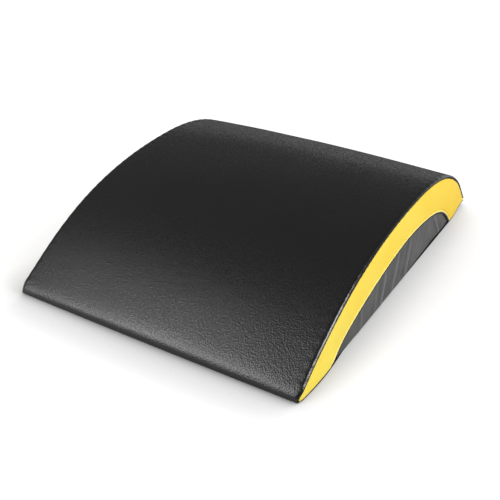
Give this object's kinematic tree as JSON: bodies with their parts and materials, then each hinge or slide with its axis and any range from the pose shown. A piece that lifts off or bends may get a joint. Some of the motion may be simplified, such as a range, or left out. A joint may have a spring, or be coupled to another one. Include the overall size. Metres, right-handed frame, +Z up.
{
  "type": "ab mat",
  "caption": "Sit-up cushion: a low foam hump, steeper at the rear, in a sewn cover with contrasting side bands and a zip along its rear edge.",
  "frame": {"origin": "centre of the object's box, on the floor plane that it rests on", "axes": "+Y from the low front lip to the steeper rear edge with the zip, +Z up, +X to the right seen from the front"},
  "size_m": [0.3074, 0.4098, 0.086],
  "materials": {
    "foam": "closed-cell foam",
    "black_leather": "grained synthetic leather, satin",
    "yellow_leather": "smooth synthetic leather, satin",
    "grey_fabric": "woven, matte",
    "thread": "sewing thread and seam edges, matte",
    "base_fabric": "non-slip dotted fabric, matte",
    "zip_tape": "woven tape, matte",
    "zip_plastic": "satin nylon",
    "zip_metal": "black-coated die-cast alloy, satin"
  },
  "bodies": {
    "cushion": {"foam_core": "foam", "top_cover": "black_leather", "side_panel_right": "yellow_leather", "side_panel_left": "yellow_leather", "side_inset_right": "grey_fabric", "side_inset_left": "grey_fabric", "top_seam_right": "thread", "top_seam_left": "thread", "arch_seam_right": "thread", "arch_seam_left": "thread", "base_panel": "base_fabric", "zip_tape_upper": "zip_tape", "zip_tape_lower": "zip_tape", "zip_teeth_upper": "zip_plastic", "zip_teeth_lower": "zip_plastic", "zip_end_stop_right": "zip_metal", "zip_end_stop_left": "zip_metal"},
    "slider": {"zip_slider": "zip_metal"},
    "pull_tab": {"zip_pull": "zip_metal"}
  },
  "joints": [
    {"name": "zip_slide", "type": "slide", "parent": "cushion", "child": "slider", "axis": [-1, 0, 0], "range_m": [0, 0.211]},
    {"name": "pull_swing", "type": "hinge", "parent": "slider", "child": "pull_tab", "pos_m": [0.1055, 0.20208, 0.0055], "axis": [0, 0, -1], "range_deg": [0, 175]}
  ]
}
